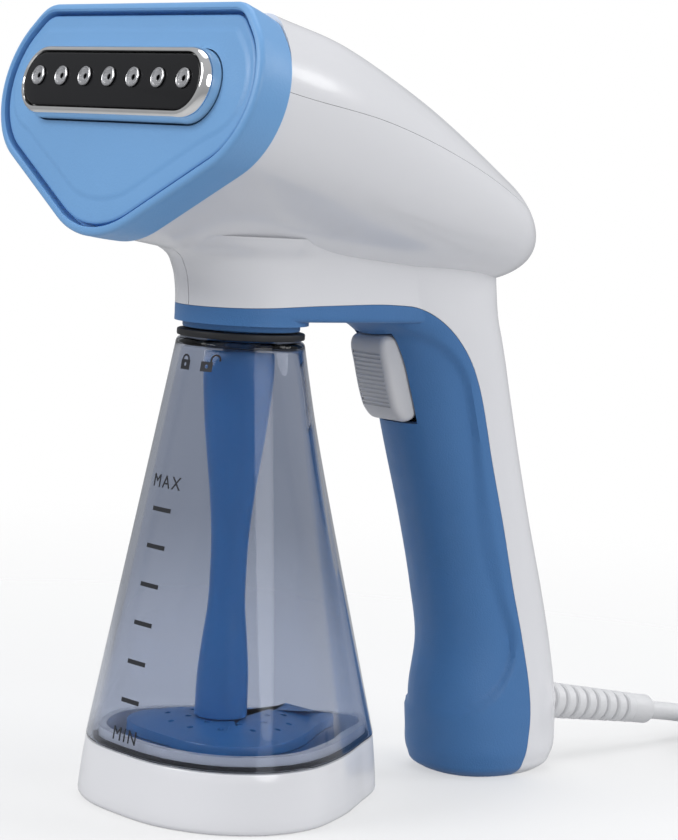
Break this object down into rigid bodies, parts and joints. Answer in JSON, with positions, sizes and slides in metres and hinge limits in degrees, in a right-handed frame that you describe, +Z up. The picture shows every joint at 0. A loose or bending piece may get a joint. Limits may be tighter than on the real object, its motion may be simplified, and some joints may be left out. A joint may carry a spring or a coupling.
{
  "type": "handheld garment steamer",
  "caption": "Handheld garment steamer: kite-shaped steam head on a tapered barrel, pistol handle with trigger, and a clear conical water tank that twists into the neck.",
  "frame": {"origin": "on the axis of the tank's neck, at the underside of the tank's base, where the steamer stands", "axes": "+Z up along the tank's neck, -Y out of the steam face, +Y towards the handle, X across; X = 0 is the plane of symmetry"},
  "size_m": [0.1873, 0.3479, 0.2286],
  "materials": {
    "white_shell": "gloss",
    "face_blue": "satin",
    "grip_blue": "soft-touch",
    "stem_blue": "satin",
    "tank_clear": "clear",
    "plate_black": "gloss",
    "chrome": "polished",
    "steel": "satin",
    "cast_alloy": "as cast",
    "rubber_black": "matt",
    "trigger_grey": "satin",
    "inner_white": "satin",
    "black_plastic": "satin",
    "silicone": "matt",
    "board_green": "satin",
    "sponge": "open foam",
    "cord_white": "satin"
  },
  "bodies": {
    "root": {"boiler_body": "cast_alloy", "boiler_cover": "cast_alloy", "control_board": "board_green", "cord_clamp": "inner_white", "cord_coil": "cord_white", "cord_tail": "cord_white", "face_plate": "face_blue", "feed_hose": "silicone", "grip_shell": "grip_blue", "head_bezel": "face_blue", "heating_element": "steel", "housing_left": "white_shell", "housing_right": "white_shell", "housing_screw_1": "steel", "housing_screw_2": "steel", "housing_screw_3": "steel", "inlet_nipple": "inner_white", "inlet_seal": "rubber_black", "microswitch": "black_plastic", "plug_blade_1": "steel", "plug_blade_2": "steel", "plug_body": "cord_white", "power_cord": "cord_white", "pump_body": "black_plastic", "steam_nozzle_1": "steel", "steam_nozzle_2": "steel", "steam_nozzle_3": "steel", "steam_nozzle_4": "steel", "steam_nozzle_5": "steel", "steam_nozzle_6": "steel", "steam_nozzle_7": "steel", "steam_plate": "plate_black", "steam_plate_frame": "chrome", "strain_relief": "cord_white", "suction_hose": "silicone", "switch_bracket": "inner_white", "tank_collar": "grip_blue", "thermal_fuse": "trigger_grey", "thermostat": "steel", "top_cover": "white_shell", "trigger_pin": "steel", "trigger_spring": "steel"},
    "trigger": {"trigger": "trigger_grey"},
    "switch_plunger": {"switch_plunger": "trigger_grey"},
    "pump_plunger": {"pump_plunger": "steel"},
    "neck_seal": {"neck_seal": "rubber_black"},
    "tank": {"tank_shell": "tank_clear", "tank_base": "white_shell", "base_gasket": "rubber_black", "filter_housing": "stem_blue", "filter_cover": "stem_blue", "filter_sponge": "sponge", "suction_stem": "stem_blue"}
  },
  "joints": [
    {"name": "trigger_press", "type": "hinge", "parent": "root", "child": "trigger", "pos_m": [0, 0.0605, 0.133], "axis": [1, 0, 0], "range_deg": [0, 8], "stiffness_Nm_per_rad": 0.9, "springref_deg": -3.44, "deforming": ["trigger_spring"]},
    {"name": "switch_press", "type": "slide", "parent": "root", "child": "switch_plunger", "axis": [0, 1, 0], "range_m": [0, 0.0016]},
    {"name": "pump_stroke", "type": "slide", "parent": "root", "child": "pump_plunger", "axis": [0, 1, 0], "range_m": [0, 0.003]},
    {"name": "tank_drop", "type": "slide", "parent": "root", "child": "neck_seal", "axis": [0, 0, -1], "range_m": [0, 0.05]},
    {"name": "tank_twist", "type": "hinge", "parent": "neck_seal", "child": "tank", "pos_m": [0, 0, 0.14], "axis": [0, 0, 1], "range_deg": [-28, 0]}
  ],
  "couplings": [
    {"joint": "switch_press", "follows": "trigger_press", "m_per_rad": 0.0105}
  ]
}
